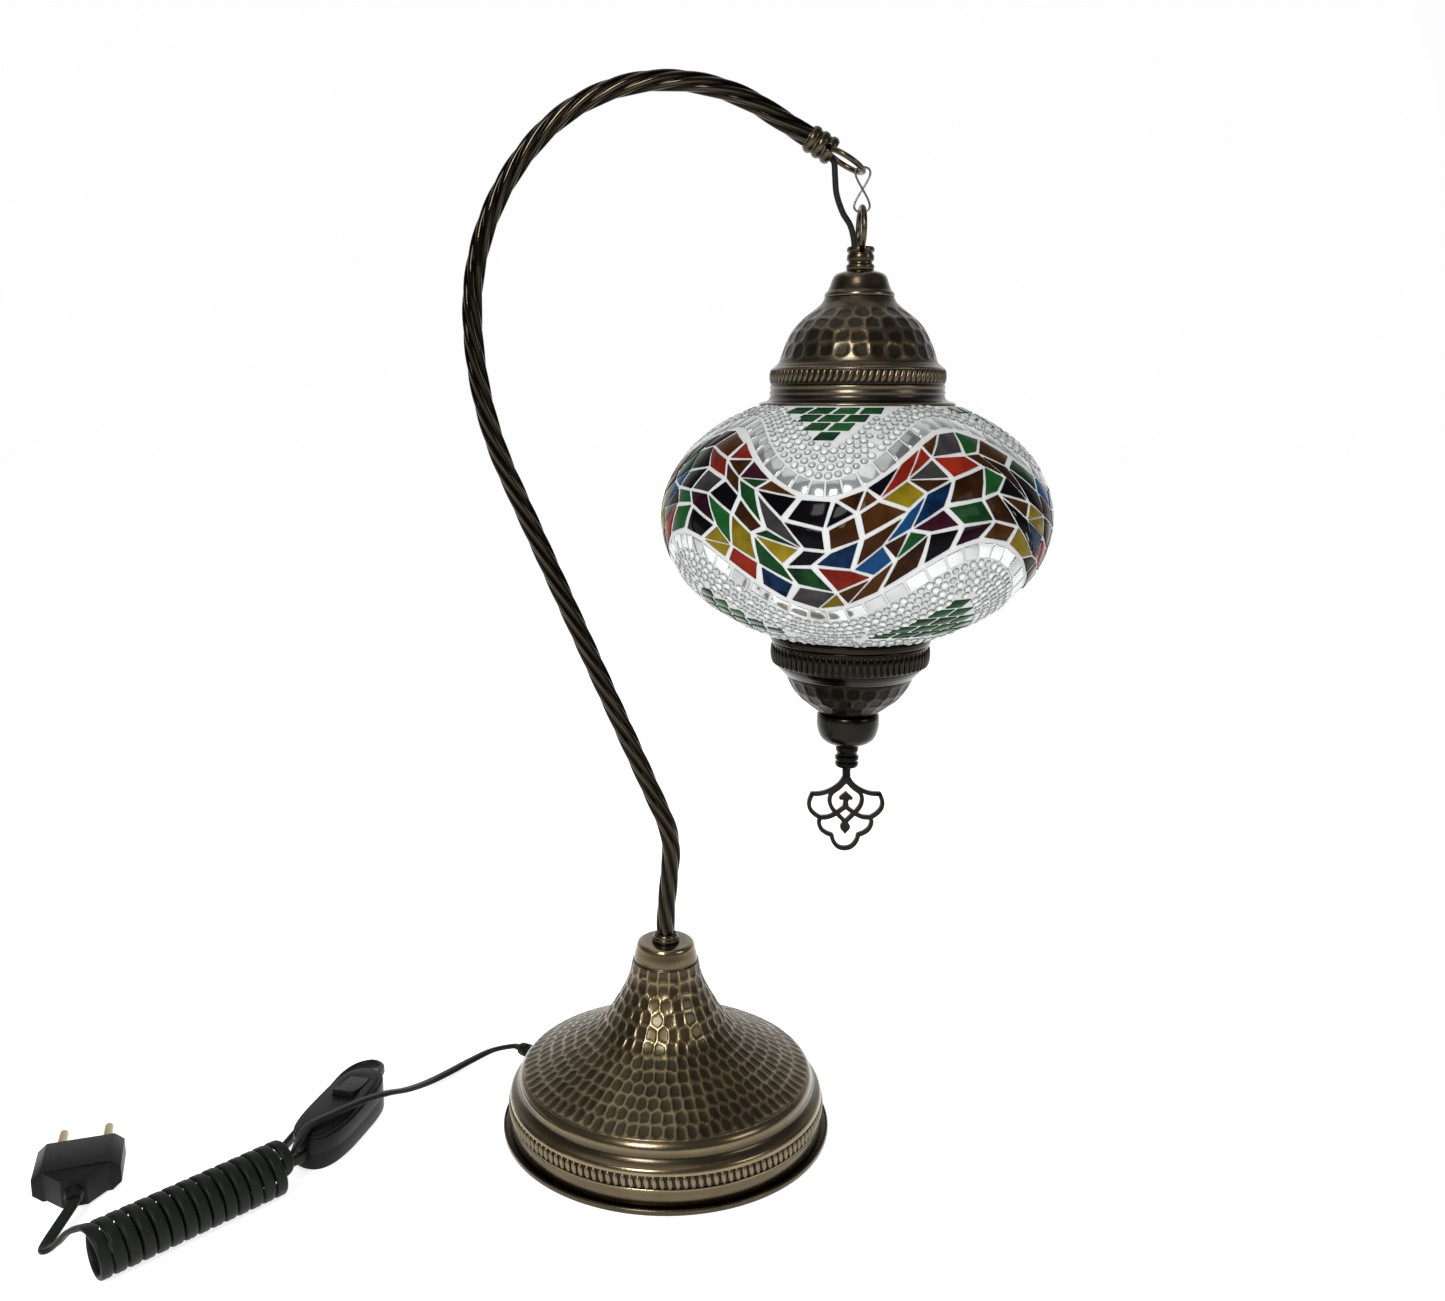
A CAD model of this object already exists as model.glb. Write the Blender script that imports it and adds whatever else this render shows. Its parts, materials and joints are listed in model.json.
"""Dresses the swan-neck mosaic lamp: hammered brass, twisted neck, mosaic globe, cord, light and camera."""

from __future__ import annotations

import json
import logging
import math
from dataclasses import dataclass
from enum import Enum
from typing import Any, Callable, Sequence

import bmesh
import bpy
import numpy as np
from mathutils.kdtree import KDTree
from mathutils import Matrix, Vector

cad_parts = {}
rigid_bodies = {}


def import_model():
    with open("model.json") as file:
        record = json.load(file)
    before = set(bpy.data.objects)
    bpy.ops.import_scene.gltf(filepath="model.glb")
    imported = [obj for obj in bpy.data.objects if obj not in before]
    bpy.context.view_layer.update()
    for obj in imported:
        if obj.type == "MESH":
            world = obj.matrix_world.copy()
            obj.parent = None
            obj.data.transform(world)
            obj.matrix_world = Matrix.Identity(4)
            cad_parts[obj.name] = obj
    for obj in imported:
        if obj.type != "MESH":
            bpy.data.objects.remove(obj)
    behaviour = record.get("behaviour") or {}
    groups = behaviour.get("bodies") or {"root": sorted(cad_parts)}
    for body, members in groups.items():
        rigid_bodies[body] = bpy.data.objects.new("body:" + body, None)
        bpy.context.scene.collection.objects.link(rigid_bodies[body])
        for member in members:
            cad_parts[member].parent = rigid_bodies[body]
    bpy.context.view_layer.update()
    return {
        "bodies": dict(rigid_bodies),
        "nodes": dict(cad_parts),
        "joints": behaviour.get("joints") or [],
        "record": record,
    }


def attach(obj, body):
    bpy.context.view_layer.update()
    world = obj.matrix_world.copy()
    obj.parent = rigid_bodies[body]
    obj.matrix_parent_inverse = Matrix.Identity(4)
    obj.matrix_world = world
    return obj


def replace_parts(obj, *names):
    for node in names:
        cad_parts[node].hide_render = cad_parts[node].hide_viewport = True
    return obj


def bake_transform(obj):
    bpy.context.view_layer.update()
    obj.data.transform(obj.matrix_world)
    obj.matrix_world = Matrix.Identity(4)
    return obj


LOG = logging.getLogger("lamp")
MM = 0.001
UPWARD = (0.0, 0.0, 1.0)
BACKWARD = (0.0, 1.0, 0.0)
Colour = tuple[float, float, float]
Point = tuple[float, float, float]
Profile = Sequence[tuple[float, float]]
Pair = tuple[np.ndarray, np.ndarray]
Relief = Callable[[np.ndarray, np.ndarray, np.ndarray], Pair]


class Body(Enum):
    """The lamp's moving bodies."""

    STAND = "stand"
    LINK = "link"
    SHADE = "shade"
    ROCKER = "rocker"


class Slot(Enum):
    """Material slots of the record."""

    AGED = "aged_brass"
    DARK = "dark_brass"
    STEEL = "steel"
    CORD = "cord_plastic"
    SWITCH = "switch_plastic"
    CONTACT = "contact_brass"
    GROUT = "grout"
    CLEAR = "clear_glass"
    MIRROR = "mirror"
    RED = "glass_red"
    BLACK = "glass_black"
    GREEN = "glass_green"
    BLUE = "glass_blue"
    AMBER = "glass_amber"
    YELLOW = "glass_yellow"
    PLUM = "glass_plum"
    GREY = "glass_grey"


# Node trees


class Value:
    """A node socket that takes part in Python arithmetic."""

    def __init__(self, graph: "Graph", socket: bpy.types.NodeSocket) -> None:
        """Wraps one output socket of a graph."""
        self.graph = graph
        self.socket = socket

    def _maths(self, operation: str, a: Any, b: Any) -> "Value":
        """Adds one Math node and returns its output."""
        return self.graph.node(self.graph.maths, {"operation": operation}, {0: a, 1: b}).out()

    def __add__(self, other: Any) -> "Value":
        """Sum."""
        return self._maths("ADD", self, other)

    __radd__ = __add__

    def __sub__(self, other: Any) -> "Value":
        """Difference."""
        return self._maths("SUBTRACT", self, other)

    def __rsub__(self, other: Any) -> "Value":
        """Difference from a number."""
        return self._maths("SUBTRACT", other, self)

    def __mul__(self, other: Any) -> "Value":
        """Product."""
        return self._maths("MULTIPLY", self, other)

    __rmul__ = __mul__

    def __truediv__(self, other: Any) -> "Value":
        """Quotient."""
        return self._maths("DIVIDE", self, other)

    def __rtruediv__(self, other: Any) -> "Value":
        """Quotient of a number by this."""
        return self._maths("DIVIDE", other, self)

    def __pow__(self, other: Any) -> "Value":
        """Power."""
        return self._maths("POWER", self, other)

    def between(self, low: float, high: float) -> "Value":
        """Rises from 0 to 1 and stays inside them.

        Args:
            low: Where it is 0.
            high: Where it is 1.

        Returns:
            The risen value.
        """
        settings = {"operation": "MULTIPLY_ADD", "use_clamp": True}
        scale = 1.0 / (high - low)
        return self.graph.node(self.graph.maths, settings, {0: self, 1: scale, 2: -low * scale}).out()


class Made:
    """A node that has been added to a graph."""

    def __init__(self, graph: "Graph", node: bpy.types.Node) -> None:
        """Keeps the node with its graph."""
        self.graph = graph
        self.node = node

    def out(self, key: int | str = 0) -> Value:
        """One of the node's outputs, by place or name."""
        return Value(self.graph, self.node.outputs[key])


class Graph:
    """Adds nodes to a shader or geometry tree."""

    maths = "ShaderNodeMath"
    noise_roughness = 0.55

    def __init__(self, tree: bpy.types.NodeTree) -> None:
        """Wraps a node tree."""
        self.tree = tree

    def node(self, kind: str, settings: dict | None = None, inputs: dict | None = None) -> Made:
        """Adds a node.

        Args:
            kind: The node's type.
            settings: Values of its properties, set first.
            inputs: Values or links of its sockets, by place or name.

        Returns:
            The node, ready to be linked on.
        """
        made = self.tree.nodes.new(kind)
        for key, value in (settings or {}).items():
            setattr(made, key, value)
        self.feed(made, inputs or {})
        return Made(self, made)

    def feed(self, node: bpy.types.Node, inputs: dict) -> None:
        """Links or sets some of a node's sockets.

        Args:
            node: The node.
            inputs: Values or links, by place or name.
        """
        for key, value in inputs.items():
            if isinstance(value, Value):
                self.tree.links.new(value.socket, node.inputs[key])
            else:
                node.inputs[key].default_value = value

    def noise(self, at: Value, scale: float, detail: float) -> Value:
        """Noise from 0 to 1 over a place."""
        wanted = {"Vector": at, "Scale": scale, "Detail": detail, "Roughness": self.noise_roughness}
        return self.node("ShaderNodeTexNoise", {}, wanted).out("Fac")

    def mix(self, share: Any, first: Any, second: Any) -> Value:
        """Colour between two colours."""
        wanted = {0: share, 6: _rgba(first), 7: _rgba(second)}
        return self.node("ShaderNodeMix", {"data_type": "RGBA"}, wanted).out(2)

    def place(self) -> Value:
        """Object coordinates, in metres."""
        return self.node("ShaderNodeTexCoord").out("Object")

    def attribute(self, name: str) -> Value:
        """A number that is stored on the mesh."""
        return self.node("ShaderNodeAttribute", {"attribute_name": name}).out("Fac")

    def bump(self, height: Value, strength: float, distance: float) -> Value:
        """Normal of a bumpy surface."""
        wanted = {"Height": height, "Strength": strength, "Distance": distance}
        return self.node("ShaderNodeBump", {}, wanted).out()

    def vector(self, x: Any = 0.0, y: Any = 0.0, z: Any = 0.0) -> Value:
        """Vector of three numbers."""
        return self.node("ShaderNodeCombineXYZ", {}, {"X": x, "Y": y, "Z": z}).out()

    def parts(self, vector: Value) -> Made:
        """The X, Y and Z of a vector, as outputs."""
        return self.node("ShaderNodeSeparateXYZ", {}, {"Vector": vector})


def _rgba(colour: Any) -> Any:
    """Adds an alpha of one to a plain colour, and leaves a link as it is."""
    return colour if isinstance(colour, Value) else (*colour, 1.0)


# Finishes, with the scale of a noise in patches per metre


@dataclass(frozen=True)
class Finish:
    """A surface finish with a Principled shader."""

    name: str

    def shade(self, graph: Graph, at: Value) -> dict:
        """Works out the surface.

        Args:
            graph: The material's tree.
            at: Object coordinates.

        Returns:
            Values and links of the shader's sockets, by name.
        """
        raise NotImplementedError

    def material(self) -> bpy.types.Material:
        """The finish's material, made once.

        Returns:
            The material.
        """
        label = "finish_" + self.name
        found = bpy.data.materials.get(label)
        if found:
            return found
        made = bpy.data.materials.new(label)
        made.use_nodes = True
        graph = Graph(made.node_tree)
        graph.feed(made.node_tree.nodes["Principled BSDF"], self.shade(graph, graph.place()))
        return made


@dataclass(frozen=True)
class Brass(Finish):
    """Patinated brass that is worn bright on its high places."""

    deep: Colour = (0.022, 0.018, 0.012)
    plain: Colour = (0.055, 0.043, 0.028)
    worn: Colour = (0.235, 0.185, 0.118)
    base_wear: float = 0.06
    roughness: float = 0.34
    polish: float = 0.14
    coat: float = 0.2
    coat_roughness: float = 0.12
    patches: float = 60.0
    patina_from: tuple[float, float] = (0.3, 0.75)
    worn_share: float = 0.8
    unevenness: tuple[float, float] = (0.45, 0.8)
    grain: float = 900.0
    grain_dulls: float = 0.08
    bump: float = 0.10
    depth: float = 0.0002

    def shade(self, graph: Graph, at: Value) -> dict:
        """Patina by noise, wear by the mesh's own attribute.

        Args:
            graph: The material's tree.
            at: Object coordinates.

        Returns:
            Values and links of the shader's sockets, by name.
        """
        cloud = graph.noise(at, self.patches, 4.0)
        fine = graph.noise(at, self.grain, 2.0)
        least, rise = self.unevenness
        wear = (graph.attribute("wear") * self.worn_share + self.base_wear) * (cloud * rise + least)
        patina = graph.mix(cloud.between(*self.patina_from), self.deep, self.plain)
        return {
            "Base Color": graph.mix(wear.between(0.0, 1.0), patina, self.worn),
            "Metallic": 1.0,
            "Roughness": self.roughness + fine * self.grain_dulls - wear * self.polish,
            "Coat Weight": self.coat,
            "Coat Roughness": self.coat_roughness,
            "Normal": graph.bump(fine, self.bump, self.depth),
        }


@dataclass(frozen=True)
class Steel(Finish):
    """Plated steel."""

    tone: Colour = (0.34, 0.32, 0.29)
    dim: float = 0.75
    roughness: float = 0.22
    smears: float = 350.0
    smear_dulls: float = 0.15

    def shade(self, graph: Graph, at: Value) -> dict:
        """Bright metal with faint smears.

        Args:
            graph: The material's tree.
            at: Object coordinates.

        Returns:
            Values and links of the shader's sockets, by name.
        """
        smear = graph.noise(at, self.smears, 3.0)
        return {
            "Base Color": graph.mix(smear, tuple(self.dim * c for c in self.tone), self.tone),
            "Metallic": 1.0,
            "Roughness": self.roughness + smear * self.smear_dulls,
        }


@dataclass(frozen=True)
class Plastic(Finish):
    """Moulded plastic, cord cover, felt, cast iron or setting paste."""

    tone: Colour = (0.0045, 0.0060, 0.0042)
    high: Colour = (0.0080, 0.0100, 0.0072)
    roughness: float = 0.40
    patches: float = 90.0
    grain: float = 1500.0
    grain_dulls: float = 0.12
    bump: float = 0.08
    depth: float = 0.0002
    specular: float = 0.5

    def shade(self, graph: Graph, at: Value) -> dict:
        """Two close tones with a fine grain.

        Args:
            graph: The material's tree.
            at: Object coordinates.

        Returns:
            Values and links of the shader's sockets, by name.
        """
        cloud = graph.noise(at, self.patches, 3.0)
        fine = graph.noise(at, self.grain, 2.0)
        return {
            "Base Color": graph.mix(cloud, self.tone, self.high),
            "Roughness": self.roughness + fine * self.grain_dulls,
            "Specular IOR Level": self.specular,
            "Normal": graph.bump(fine, self.bump, self.depth),
        }


@dataclass(frozen=True)
class CutGlass(Finish):
    """Coloured sheet glass with streaks, set in paste."""

    slot: Slot
    tone: Colour
    light: Colour
    roughness: float = 0.06
    specular: float = 0.035
    streaks: float = 120.0
    streaks_from: tuple[float, float] = (0.35, 0.75)
    streak_share: float = 0.5
    tint_share: float = 0.6
    light_from: tuple[float, float] = (0.1, 1.0)
    ripples: float = 260.0
    ripple_dulls: float = 0.06
    bump: float = 0.10
    depth: float = 0.0006

    def shade(self, graph: Graph, at: Value) -> dict:
        """Streaky colour under a clear, slightly rolled face.

        Args:
            graph: The material's tree.
            at: Object coordinates.

        Returns:
            Values and links of the shader's sockets, by name.
        """
        streak = graph.noise(at, self.streaks, 3.0)
        rolled = graph.noise(at, self.ripples, 1.0)
        streaky = streak.between(*self.streaks_from) * self.streak_share
        share = (streaky + graph.attribute("tint") * self.tint_share).between(*self.light_from)
        return {
            "Base Color": graph.mix(share, self.tone, self.light),
            "Roughness": self.roughness + rolled * self.ripple_dulls,
            "Specular IOR Level": self.specular,
            "Normal": graph.bump(rolled, self.bump, self.depth),
        }


@dataclass(frozen=True)
class MirrorGlass(Finish):
    """Small mirrors."""

    tone: Colour = (0.22, 0.225, 0.22)
    light: Colour = (0.68, 0.70, 0.69)
    metallic: float = 0.8
    roughness: float = 0.10
    coat: float = 0.5
    coat_roughness: float = 0.04
    patches: float = 110.0
    patch_share: float = 0.5
    patch_dulls: float = 0.08
    tint_share: float = 0.7
    light_from: tuple[float, float] = (0.1, 1.0)

    def shade(self, graph: Graph, at: Value) -> dict:
        """Silver that is cloudy from tile to tile.

        Args:
            graph: The material's tree.
            at: Object coordinates.

        Returns:
            Values and links of the shader's sockets, by name.
        """
        cloud = graph.noise(at, self.patches, 2.0)
        tint = graph.attribute("tint") * self.tint_share
        share = (tint + cloud * self.patch_share).between(*self.light_from)
        return {
            "Base Color": graph.mix(share, self.tone, self.light),
            "Metallic": self.metallic,
            "Roughness": self.roughness + cloud * self.patch_dulls,
            "Coat Weight": self.coat,
            "Coat Roughness": self.coat_roughness,
        }


@dataclass(frozen=True)
class BeadGlass(Finish):
    """Clear seed beads over white paste: grey round the foot, bright on the crown."""

    foot: Colour = (0.10, 0.105, 0.10)
    crown: Colour = (0.545, 0.565, 0.56)
    crown_from: tuple[float, float] = (0.28, 0.95)
    unevenness: tuple[float, float] = (0.65, 0.5)
    roughness: float = 0.10
    coat: float = 0.5
    coat_roughness: float = 0.04

    def shade(self, graph: Graph, at: Value) -> dict:
        """Grey by height in the bead, a little different from bead to bead.

        Args:
            graph: The material's tree.
            at: Object coordinates, not used.

        Returns:
            Values and links of the shader's sockets, by name.
        """
        least, rise = self.unevenness
        share = graph.attribute("dome") * (graph.attribute("tint") * rise + least)
        return {
            "Base Color": graph.mix(share.between(*self.crown_from), self.foot, self.crown),
            "Roughness": self.roughness,
            "Coat Weight": self.coat,
            "Coat Roughness": self.coat_roughness,
        }


@dataclass(frozen=True)
class ClearGlass(Finish):
    """Clear or frosted blown glass."""

    tone: Colour = (0.92, 0.95, 0.95)
    roughness: float = 0.05
    transmission: float = 0.9
    refraction: float = 1.5
    dim: float = 0.92
    seeds: float = 400.0
    seed_dulls: float = 0.03

    def shade(self, graph: Graph, at: Value) -> dict:
        """Glass with slight seeds.

        Args:
            graph: The material's tree.
            at: Object coordinates.

        Returns:
            Values and links of the shader's sockets, by name.
        """
        seeds = graph.noise(at, self.seeds, 2.0)
        return {
            "Base Color": graph.mix(seeds, tuple(self.dim * c for c in self.tone), self.tone),
            "Roughness": self.roughness + seeds * self.seed_dulls,
            "Transmission Weight": self.transmission,
            "IOR": self.refraction,
        }


@dataclass(frozen=True)
class Table(Finish):
    """Pale studio table, lit a little from below."""

    tone: Colour = (0.84, 0.84, 0.84)
    dim: float = 0.98
    roughness: float = 0.8
    glow: float = 0.765
    patches: float = 4.0

    def shade(self, graph: Graph, at: Value) -> dict:
        """Even, matt and nearly white.

        Args:
            graph: The material's tree.
            at: Object coordinates.

        Returns:
            Values and links of the shader's sockets, by name.
        """
        cloud = graph.noise(at, self.patches, 2.0)
        return {
            "Base Color": graph.mix(cloud, tuple(self.dim * c for c in self.tone), self.tone),
            "Roughness": self.roughness,
            "Emission Color": (1.0, 1.0, 1.0, 1.0),
            "Emission Strength": self.glow,
        }


HAMMERED = Brass(
    "hammered_brass", deep=(0.020, 0.016, 0.009), plain=(0.060, 0.044, 0.020), worn=(0.33, 0.252, 0.135))
PLAIN_BRASS = Brass(
    "plain_brass", plain=(0.042, 0.031, 0.014), worn=(0.30, 0.23, 0.128), base_wear=0.10, roughness=0.24,
    coat=0.22)
GROOVE = Brass(
    "groove_brass", deep=(0.007, 0.0055, 0.0035), plain=(0.018, 0.014, 0.008), worn=(0.05, 0.04, 0.025),
    base_wear=0.0)
LOBE_BRASS = Brass(
    "lobe_brass", deep=(0.010, 0.008, 0.005), plain=(0.034, 0.026, 0.015), worn=(0.25, 0.195, 0.115))
CAP_HAMMERED = Brass(
    "cap_hammered", deep=(0.010, 0.008, 0.005), plain=(0.024, 0.0185, 0.011), worn=(0.145, 0.112, 0.066))
CAP_BRASS = Brass(
    "cap_brass", deep=(0.012, 0.010, 0.007), plain=(0.030, 0.024, 0.016), worn=(0.17, 0.13, 0.085),
    base_wear=0.08, roughness=0.27)
LOW_HAMMERED = Brass(
    "low_hammered", deep=(0.003, 0.0025, 0.002), plain=(0.0055, 0.0043, 0.0029), worn=(0.030, 0.023, 0.0145),
    coat=0.0)
LOW_BRASS = Brass(
    "low_brass", deep=(0.005, 0.004, 0.003), plain=(0.0055, 0.0043, 0.0029), worn=(0.023, 0.018, 0.0115),
    base_wear=0.0, roughness=0.16, coat=0.06)
DARK_BRASS = Brass(
    "dark_brass", deep=(0.006, 0.005, 0.004), plain=(0.013, 0.011, 0.008), worn=(0.09, 0.075, 0.05),
    base_wear=0.03, roughness=0.22, coat=0.12)
NECK_BRASS = Brass(
    "neck_brass", deep=(0.003, 0.0026, 0.0018), plain=(0.006, 0.0048, 0.0031), worn=(0.055, 0.043, 0.026),
    base_wear=0.0, roughness=0.09, coat=0.05)
CONTACTS = Brass("contact_brass", deep=(0.40, 0.33, 0.18), plain=(0.55, 0.46, 0.26), worn=(0.75, 0.66, 0.42))
PLATED = Steel("plated_steel")
WIRE = Steel("wire_steel", tone=(0.15, 0.14, 0.13))
CORD_COVER = Plastic("cord_cover", specular=0.12)
SWITCH_SHELL = Plastic(
    "switch_shell", tone=(0.0040, 0.0046, 0.0040), high=(0.0065, 0.0075, 0.0065), roughness=0.34,
    specular=0.12)
FELT = Plastic(
    "felt", tone=(0.03, 0.06, 0.04), high=(0.06, 0.10, 0.07), roughness=0.9, bump=0.6, depth=0.0006)
IRON = Plastic(
    "cast_iron", tone=(0.06, 0.06, 0.06), high=(0.10, 0.10, 0.10), roughness=0.7, bump=0.5, depth=0.0005)
HOLDER = Plastic("phenolic", tone=(0.02, 0.018, 0.016), high=(0.035, 0.03, 0.027))
PASTE = Plastic(
    "setting_paste", tone=(0.445, 0.453, 0.447), high=(0.545, 0.553, 0.547), roughness=0.75, grain=700.0,
    bump=0.5, depth=0.0004)
MIRRORS = MirrorGlass("mirror_tiles")
SEED_GLASS = BeadGlass("seed_beads")
BLOWN = ClearGlass("blown_glass")
FROSTED = ClearGlass("frosted_bulb", tone=(0.95, 0.93, 0.88), roughness=0.45, transmission=0.5)
GLASS = {
    "tiles_red": CutGlass("red_glass", Slot.RED, (0.055, 0.004, 0.003), (0.22, 0.017, 0.007)),
    "tiles_black": CutGlass("black_glass", Slot.BLACK, (0.0012, 0.0012, 0.0015), (0.003, 0.0025, 0.0035)),
    "tiles_green": CutGlass("green_glass", Slot.GREEN, (0.003, 0.011, 0.005), (0.009, 0.072, 0.015)),
    "tiles_blue": CutGlass("blue_glass", Slot.BLUE, (0.002, 0.008, 0.026), (0.006, 0.047, 0.13)),
    "tiles_amber": CutGlass("amber_glass", Slot.AMBER, (0.010, 0.004, 0.0015), (0.052, 0.019, 0.005)),
    "tiles_yellow": CutGlass("yellow_glass", Slot.YELLOW, (0.040, 0.028, 0.003), (0.21, 0.155, 0.007)),
    "tiles_plum": CutGlass("plum_glass", Slot.PLUM, (0.006, 0.0015, 0.0035), (0.027, 0.005, 0.011)),
    "tiles_grey": CutGlass("grey_glass", Slot.GREY, (0.008, 0.0075, 0.008), (0.045, 0.042, 0.042)),
    "leaf_tiles": CutGlass("leaf_glass", Slot.GREEN, (0.003, 0.015, 0.006), (0.010, 0.075, 0.018)),
}


# Lines and sections


def unit(v: np.ndarray) -> np.ndarray:
    """Vectors of length one, along the last axis."""
    return v / np.maximum(np.linalg.norm(v, axis=-1, keepdims=True), 1e-12)


def beside(p: np.ndarray) -> Pair:
    """The row before and the row after each row, with the end rows repeated."""
    return np.vstack([p[:1], p[:-1]]), np.vstack([p[1:], p[-1:]])


def tangents(p: np.ndarray) -> np.ndarray:
    """Direction of a line at each of its points."""
    before, after = beside(p)
    return unit(after - before)


def profile_outward(p: np.ndarray) -> np.ndarray:
    """Outward direction at each point of a profile that runs from the bottom up."""
    t = tangents(p)
    return np.stack([t[:, 1], -t[:, 0]], 1)


def distances(p: np.ndarray) -> np.ndarray:
    """Distance of each point along a line."""
    return np.concatenate([[0], np.cumsum(np.linalg.norm(np.diff(p, axis=0), axis=1))])


def round_angles(count: int) -> np.ndarray:
    """Even angles once round, in radians."""
    return np.arange(count) * 2 * math.pi / count


def smooth_curve(points: Sequence[Sequence[float]], steps: int) -> np.ndarray:
    """Smooth curve through points.

    Args:
        points: Points that the curve goes through.
        steps: Number of steps between two of them.

    Returns:
        Points along the curve.
    """
    p = np.asarray(points, float)
    out = []
    for i in range(len(p) - 1):
        a, b, c, d = p[max(0, i - 1)], p[i], p[i + 1], p[min(len(p) - 1, i + 2)]
        first, second, third = c - a, 2 * a - 5 * b + 4 * c - d, 3 * b - a - 3 * c + d
        for t in np.arange(steps) / steps:
            out.append(0.5 * (2 * b + first * t + second * t**2 + third * t**3))
    out.append(p[-1])
    return np.array(out)


def curved(points: Profile, steps: int = 4) -> list[tuple[float, float]]:
    """Smooth profile points as a list of pairs."""
    return [tuple(q) for q in smooth_curve(points, steps)]


def even_steps(profile: np.ndarray, step: float) -> np.ndarray:
    """Points at even steps along a profile, with its corners kept.

    Args:
        profile: The profile's corners.
        step: Greatest distance that is wanted between two points, roughly.

    Returns:
        Points along the profile.
    """
    out = [profile[0]]
    for a, b in zip(profile[:-1], profile[1:]):
        count = max(1, round(float(np.linalg.norm(b - a)) / step))
        out += [a + (b - a) * k / count for k in range(1, count + 1)]
    return np.array(out)


def section_rings(line: np.ndarray, along: np.ndarray, normal: Any, section: np.ndarray) -> np.ndarray:
    """Rings of a section that is carried along a line.

    Args:
        line: Points of the line.
        along: Direction of the line at each point.
        normal: Direction that the section's height faces, for the line or for each point.
        section: Places round the section, across it and up.

    Returns:
        Points by ring and by place round it, counter-clockwise along the run.
    """
    side = unit(np.cross(along, normal))
    up = np.cross(side, along)
    return line[:, None] + section[:, 0, None] * side[:, None] - section[:, 1, None] * up[:, None]


def round_section(d: float, sides: int) -> np.ndarray:
    """Places round a circle of a diameter."""
    a = round_angles(sides)
    return d / 2 * np.stack([np.cos(a), np.sin(a)], 1)


# Meshes


def add_object(name: str, data: Any) -> bpy.types.Object:
    """Adds an object at the origin.

    Args:
        name: The object's name.
        data: Its mesh, light or camera.

    Returns:
        The linked object.
    """
    made = bpy.data.objects.new(name, data)
    bpy.context.scene.collection.objects.link(made)
    return made


def mesh_object(name: str, verts: np.ndarray, faces: Sequence[Sequence[int]]) -> bpy.types.Object:
    """Makes a smooth mesh object at the origin.

    Args:
        name: The piece's name.
        verts: Points in metres, in rows of any shape.
        faces: Corners of each face, counter-clockwise from outside.

    Returns:
        The linked object.
    """
    mesh = bpy.data.meshes.new(name)
    mesh.from_pydata(np.asarray(verts, float).reshape(-1, 3).tolist(), [], [list(f) for f in faces])
    mesh.polygons.foreach_set("use_smooth", [True] * len(mesh.polygons))
    mesh.update()
    return add_object(name, mesh)


def grid_faces(rows: int, cols: int, closed: bool) -> list[tuple[int, ...]]:
    """Faces between rows of points, where each row closes on itself.

    Args:
        rows: Number of rows.
        cols: Points in a row.
        closed: Whether the last row joins the first.

    Returns:
        Corners of each face.
    """
    faces = []
    for i in range(rows if closed else rows - 1):
        k = (i + 1) % rows
        for j in range(cols):
            m = (j + 1) % cols
            faces.append((i * cols + j, i * cols + m, k * cols + m, k * cols + j))
    return faces


def tube(name: str, rings: np.ndarray) -> bpy.types.Object:
    """Closes rings of points into a tube with flat ends.

    Args:
        name: The piece's name.
        rings: Points in metres, by ring and by place round it, counter-clockwise along the run.

    Returns:
        The tube.
    """
    count, sides = rings.shape[:2]
    ends = [tuple(range(sides - 1, -1, -1)), tuple((count - 1) * sides + j for j in range(sides))]
    return mesh_object(name, rings, grid_faces(count, sides, False) + ends)


def store(piece: bpy.types.Object, name: str, values: np.ndarray) -> None:
    """Stores one number for each point of a piece."""
    data = piece.data.attributes.new(name, "FLOAT", "POINT")
    data.data.foreach_set("value", np.asarray(values, np.float32).ravel())


def cover(piece: bpy.types.Object, finish: Finish) -> None:
    """Gives a piece one finish all over."""
    piece.data.materials.clear()
    piece.data.materials.append(finish.material())


def dress(piece: bpy.types.Object, finish: Finish, body: Body) -> bpy.types.Object:
    """Gives a new piece its finish and the body that it rides on.

    Args:
        piece: The piece.
        finish: Its finish.
        body: The body that it rides on.

    Returns:
        The piece.
    """
    cover(piece, finish)
    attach(piece, body.value)
    LOG.info("%s: %d faces", piece.name, len(piece.data.polygons))
    return piece


def bake(piece: bpy.types.Object) -> bpy.types.Mesh:
    """Runs a piece's modifiers once and keeps the result as its plain, smooth mesh.

    Args:
        piece: The piece, left with no modifier.

    Returns:
        Its new mesh.
    """
    bpy.context.view_layer.update()
    result = bpy.data.meshes.new_from_object(piece.evaluated_get(bpy.context.evaluated_depsgraph_get()))
    piece.modifiers.clear()
    piece.data = result
    result.name = piece.name
    result.polygons.foreach_set("use_smooth", [True] * len(result.polygons))
    return result


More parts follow.
